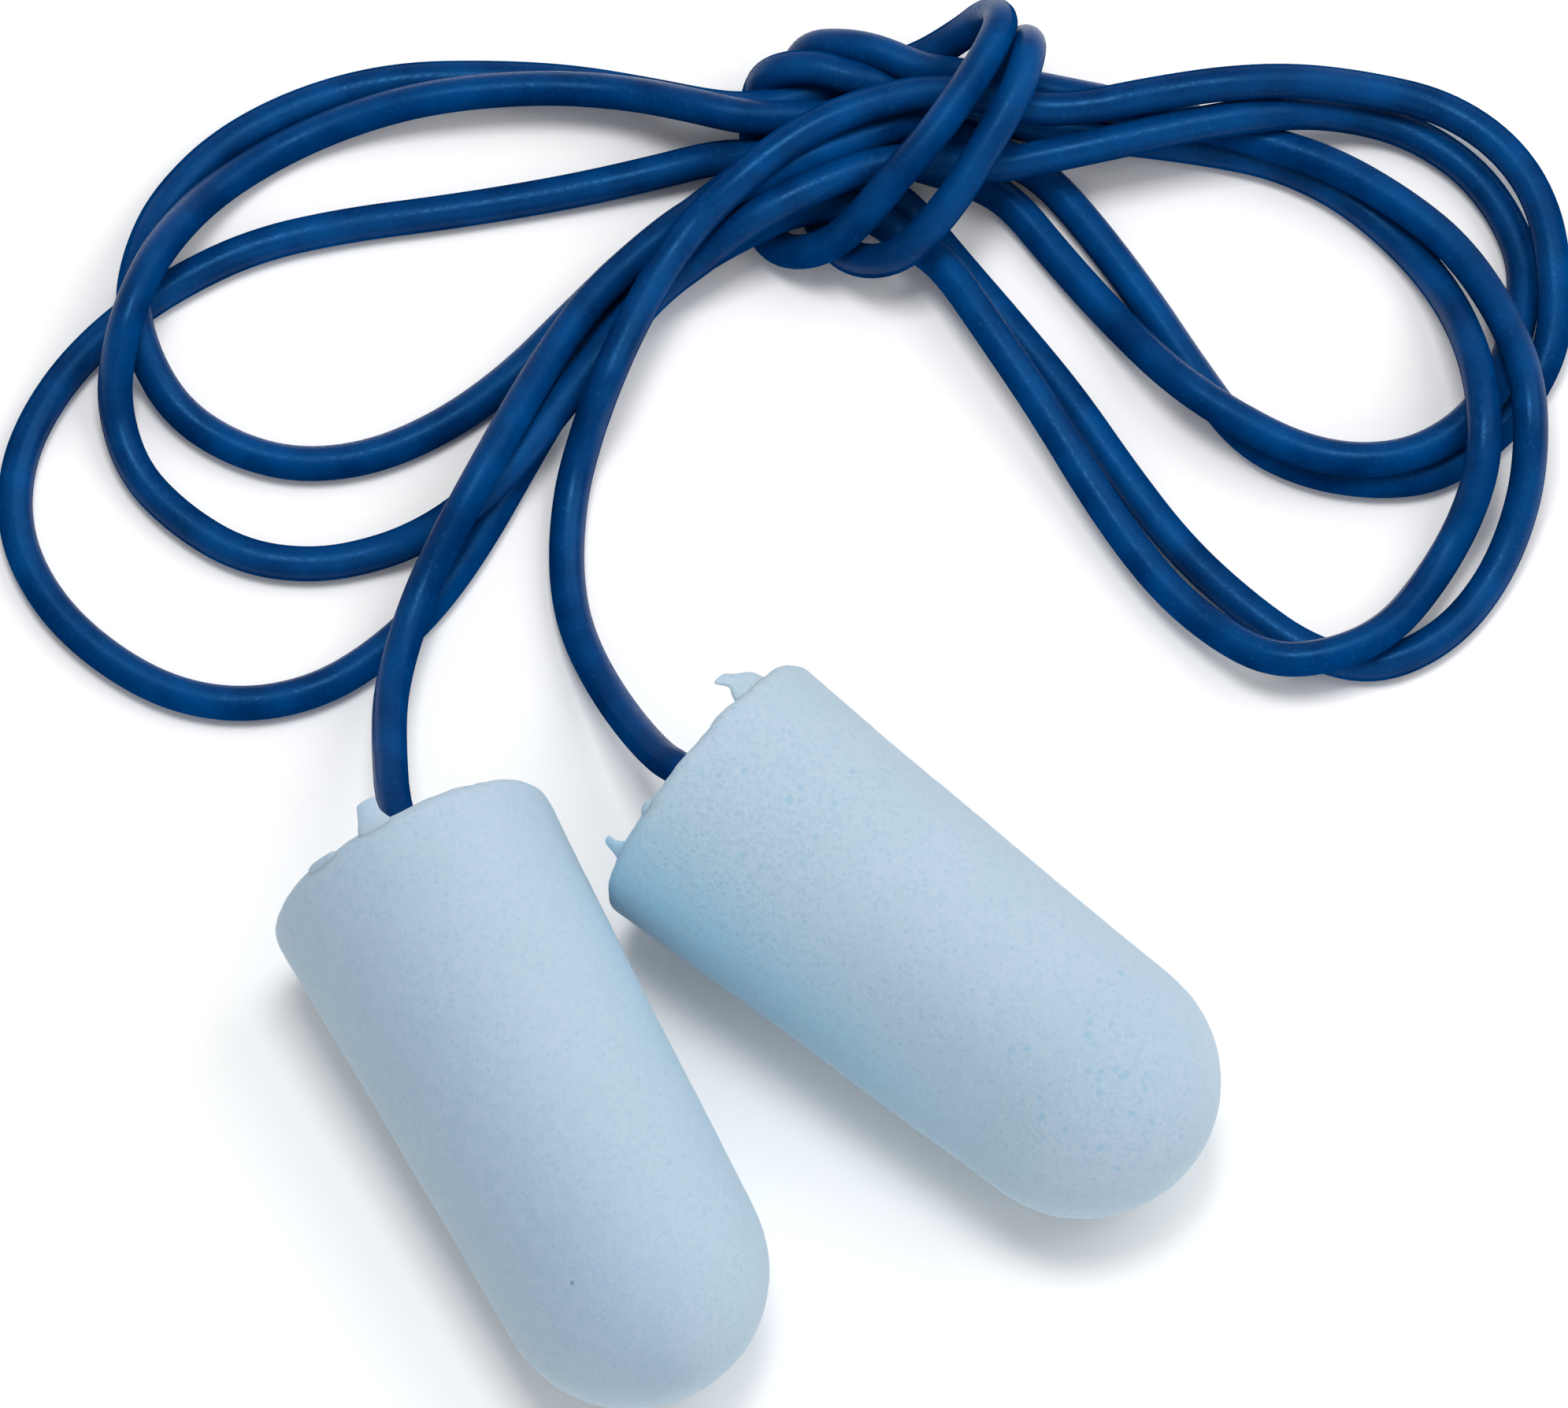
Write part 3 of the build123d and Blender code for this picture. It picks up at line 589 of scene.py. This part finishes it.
def foamMaterial(look):
    # Slow-recovery polyurethane foam, moulded: dead matt, softly lit through, with fine pores
    material = newMaterial("mouldedPolyurethaneFoam", look["pale"])
    place = addNode(material, "ShaderNodeTexCoord").outputs["Object"]
    tone = addNode(material, "ShaderNodeAttribute", attribute_name="foamTone")
    tones = addNode(material, "ShaderNodeSeparateColor", links={"Color": tone.outputs["Color"]})

    def pattern(size, detail):
        values = {"Scale": perMetre(size), "Detail": detail, "Roughness": 0.6}
        return addNode(material, "ShaderNodeTexNoise", values, {"Vector": place}).outputs["Fac"]

    def combine(first, second, operation, value=0.0):
        links = {0: first} if second is None else {0: first, 1: second}
        values = {1: value} if second is None else {}
        node = addNode(material, "ShaderNodeMath", values, links, operation=operation, use_clamp=True)
        return node.outputs[0]

    def mix(first, colour, share):
        links = {"Fac": share, "Color1": first}
        return addNode(material, "ShaderNodeMixRGB", {"Color2": linear(colour)}, links).outputs["Color"]

    def ramp(value, places, low, high):
        node = addNode(material, "ShaderNodeValToRGB", links={"Fac": value})
        return setRamp(node, (places[0], low), (places[1], high)).outputs["Color"]

    mottle = pattern(look["mottle"], 2)
    base = ramp(mottle, look["mottleRange"], linear(look["pale"]), linear(look["greenish"]))
    clouds = ramp(pattern(look["cloud"], 5), look["cloudRange"], grey(look["cloudLow"]), grey(1))
    # Lavender tint and painted shade on the side away from the light
    bluishTintAndShade = mix(base, look["bluishTintAndShade"], combine(tones.outputs["Red"], clouds, "MULTIPLY"))
    # Painted bounce light from the other plug, in blue-green
    tealBounceLight = mix(bluishTintAndShade, look["tealBounceLight"], combine(tones.outputs["Green"], clouds, "MULTIPLY"))

    cellValues = {"Scale": perMetre(look["cell"])}
    cells = addNode(material, "ShaderNodeTexVoronoi", cellValues, {"Vector": place})
    chance = addNode(material, "ShaderNodeSeparateColor", links={"Color": cells.outputs["Color"]})
    poreOpen = combine(chance.outputs["Red"], tones.outputs["Blue"], "LESS_THAN")
    poreRound = ramp(cells.outputs["Distance"], look["poreRange"], grey(1), grey(0))
    pores = combine(poreOpen, poreRound, "MULTIPLY")
    pored = mix(tealBounceLight, look["pore"], combine(pores, None, "MULTIPLY", look["poreShare"]))

    hollowValues = {"Scale": perMetre(look["hollow"])}
    hollows = addNode(material, "ShaderNodeTexVoronoi", hollowValues, {"Vector": place})
    hollowChance = addNode(material, "ShaderNodeSeparateColor", links={"Color": hollows.outputs["Color"]})
    hollowOpen = combine(hollowChance.outputs["Green"], tone.outputs["Alpha"], "LESS_THAN")
    hollowRound = ramp(hollows.outputs["Distance"], look["hollowRange"], grey(1), grey(0))
    coarse = combine(hollowOpen, hollowRound, "MULTIPLY")
    hollowed = mix(pored, look["hollowShade"], combine(coarse, None, "MULTIPLY", look["hollowShare"]))

    grain = pattern(look["grain"], 4)
    grains = ramp(grain, look["grainRange"], grey(0), grey(look["grainShare"]))
    grained = mix(hollowed, look["pore"], grains)

    specks = addNode(
        material, "ShaderNodeTexVoronoi", {"Scale": perMetre(look["speckCell"])}, {"Vector": place}
    )
    spots = ramp(specks.outputs["Distance"], look["speckRange"], grey(look["speckShare"]), grey(0))
    colour = mix(grained, look["speck"], spots)

    height = combine(combine(grain, pores, "SUBTRACT"), coarse, "SUBTRACT")
    bumpValues = {"Strength": look["bumpStrength"], "Distance": look["bumpDepth"] * mm}
    bump = addNode(material, "ShaderNodeBump", bumpValues, {"Height": height})
    surface = addNode(
        material,
        "ShaderNodeBsdfPrincipled",
        {
            "Roughness": look["roughness"],
            "Specular IOR Level": look["specular"],
            "Subsurface Weight": look["subsurface"],
            "Subsurface Radius": look["subsurfaceTint"],
            "Subsurface Scale": look["subsurfaceDepth"] * mm,
            "Sheen Weight": look["sheen"],
            "Sheen Roughness": look["sheenRoughness"],
        },
        {"Base Color": colour, "Normal": bump.outputs["Normal"]},
    )
    addNode(material, "ShaderNodeOutputMaterial", links={"Surface": surface.outputs[0]})
    return material


cordLook = {
    "blue": "#002b5c",
    "light": "#003f7a",
    "bloom": "#2f6ea6",
    "shine": "#5fb8ff",
    # sizes of the patterns, in millimetres
    "wash": 2.5,
    "speck": 0.16,
    "rubbed": 5,
    "grain": 0.09,
    "washRange": (0.35, 0.7),
    "dustRange": (0.6, 0.78),
    "dustShare": 0.2,
    "wearRange": (0.85, 1.15),
    "roughness": (0.28, 0.5),
    # Painted shade: the band round the cord that reflects; the sides outside it are kept dull
    "reflectionOnlyOnTop": (0.08, 0.18, 0.32, 0.42),  # round the cord, as a share of a turn; 0.25 is the top
    "specular": 0.5,
    "bumpStrength": 0.3,
    "bumpDepth": 0.02,
    "refraction": 1.42,
}


def cordMaterial(look):
    # Extruded soft vinyl: a smooth skin with a fine bloom that breaks up its highlights
    material = newMaterial("extrudedSoftVinyl", look["blue"])
    place = addNode(material, "ShaderNodeTexCoord").outputs["Object"]

    def pattern(size, detail, **more):
        values = {"Scale": perMetre(size), "Detail": detail, **more}
        return addNode(material, "ShaderNodeTexNoise", values, {"Vector": place}).outputs["Fac"]

    wash = pattern(look["wash"], 3)
    tint = setRamp(
        addNode(material, "ShaderNodeValToRGB", links={"Fac": wash}),
        (look["washRange"][0], linear(look["blue"])),
        (look["washRange"][1], linear(look["light"])),
    )
    speck = pattern(look["speck"], 2, Roughness=0.6)
    dust = setRamp(
        addNode(material, "ShaderNodeValToRGB", links={"Fac": speck}),
        (look["dustRange"][0], grey(0)),
        (look["dustRange"][1], grey(look["dustShare"])),
    )
    colour = addNode(
        material,
        "ShaderNodeMixRGB",
        {"Color2": linear(look["bloom"])},
        {"Fac": dust.outputs["Color"], "Color1": tint.outputs["Color"]},
    )
    rubbed = pattern(look["rubbed"], 2)
    wear = addNode(material, "ShaderNodeMath", links={0: rubbed, 1: speck}, operation="ADD")
    wearLow, wearHigh = look["wearRange"]
    smoothest, roughest = look["roughness"]
    gloss = addNode(
        material,
        "ShaderNodeMapRange",
        {"From Min": wearLow, "From Max": wearHigh, "To Min": smoothest, "To Max": roughest},
        {"Value": wear.outputs[0]},
    )
    bumpValues = {"Strength": look["bumpStrength"], "Distance": look["bumpDepth"] * mm}
    bump = addNode(material, "ShaderNodeBump", bumpValues, {"Height": pattern(look["grain"], 2)})
    # Painted shade: only the top, a quarter of the way round, reflects; the sides are kept from reflecting
    # the bright floor
    unwrapped = addNode(material, "ShaderNodeTexCoord").outputs["UV"]
    around = addNode(material, "ShaderNodeSeparateXYZ", links={"Vector": unwrapped})
    shiny = setRamp(
        addNode(material, "ShaderNodeValToRGB", links={"Fac": around.outputs["Y"]}),
        *zip(look["reflectionOnlyOnTop"], (grey(0), grey(look["specular"]), grey(look["specular"]), grey(0))),
    )
    surface = addNode(
        material,
        "ShaderNodeBsdfPrincipled",
        {"Specular Tint": linear(look["shine"]), "IOR": look["refraction"]},
        {
            "Base Color": colour.outputs["Color"],
            "Roughness": gloss.outputs["Result"],
            "Specular IOR Level": shiny.outputs["Color"],
            "Normal": bump.outputs["Normal"],
        },
    )
    addNode(material, "ShaderNodeOutputMaterial", links={"Surface": surface.outputs[0]})
    return material


def glueMaterial():
    # Set solvent glue: cloudy, half clear, with a slight ripple
    material = newMaterial("setGlue", "#dcdccf")
    place = addNode(material, "ShaderNodeTexCoord").outputs["Object"]
    cloud = addNode(material, "ShaderNodeTexNoise", {"Scale": perMetre(0.8)}, {"Vector": place})
    tint = setRamp(
        addNode(material, "ShaderNodeValToRGB", links={"Fac": cloud.outputs["Fac"]}),
        (0.3, linear("#cfd2c8")),
        (0.7, linear("#e6e4d6")),
    )
    bumpValues = {"Strength": 0.2, "Distance": 0.05 * mm}
    bump = addNode(material, "ShaderNodeBump", bumpValues, {"Height": cloud.outputs["Fac"]})
    surface = addNode(
        material,
        "ShaderNodeBsdfPrincipled",
        {"Roughness": 0.35},
        {"Base Color": tint.outputs["Color"], "Normal": bump.outputs["Normal"]},
    )
    addNode(material, "ShaderNodeOutputMaterial", links={"Surface": surface.outputs[0]})
    return material


def paint(piece, material):
    piece.data.materials.clear()
    piece.data.materials.append(material)


foamSkin = foamMaterial(foamLook)
for piece in plugPieces.values():
    paint(piece, foamSkin)
paint(cordPiece, cordMaterial(cordLook))
setGlue = glueMaterial()
for name in ("cord_bond_left", "cord_bond_right"):
    paint(frame["nodes"][name], setGlue)
print("materials made")


# ---- floor and light ----
studio = {
    "floor": "#ffffff",
    "floorSize": 4.0,
    "air": 0.4,
    "lamps": [  # place in metres, size, power in watts
        {"name": "key", "place": (0.35, 0.15, 0.45), "size": 0.45, "power": 1.35},
        {"name": "fill", "place": (0.2, -0.5, 0.35), "size": 0.6, "power": 0.75},
        {"name": "top", "place": (-0.02, 0.08, 0.6), "size": 0.2, "power": 1.7},
    ],
}


def floorMaterial(colour):
    # Plain matt paper
    material = newMaterial("mattPaper", colour)
    values = {"Base Color": linear(colour), "Roughness": 0.9, "Specular IOR Level": 0.1}
    surface = addNode(material, "ShaderNodeBsdfPrincipled", values)
    addNode(material, "ShaderNodeOutputMaterial", links={"Surface": surface.outputs[0]})
    return material


def makeStudio(settings):
    deselectAll()
    bpy.ops.mesh.primitive_plane_add(size=settings["floorSize"], location=(0, 0, cadBox[0].z))
    floor = bpy.context.object
    floor.name = "paleFloor"
    paint(floor, floorMaterial(settings["floor"]))
    world = bpy.data.worlds.new("studioAir")
    world.use_nodes = True
    world.node_tree.nodes["Background"].inputs["Color"].default_value = (1, 1, 1, 1)
    world.node_tree.nodes["Background"].inputs["Strength"].default_value = settings["air"]
    bpy.context.scene.world = world
    aim = Vector(shot["target"]) * mm
    for lamp in settings["lamps"]:
        place = Vector(lamp["place"])
        turn = (place - aim).to_track_quat("Z", "Y").to_euler()
        bpy.ops.object.light_add(type="AREA", location=place, rotation=turn)
        light = bpy.context.object
        light.name = lamp["name"] + "Lamp"
        light.data.energy = lamp["power"]
        light.data.size = lamp["size"]


makeStudio(studio)
bpy.context.scene.view_settings.view_transform = "Standard"
print("studio lit")
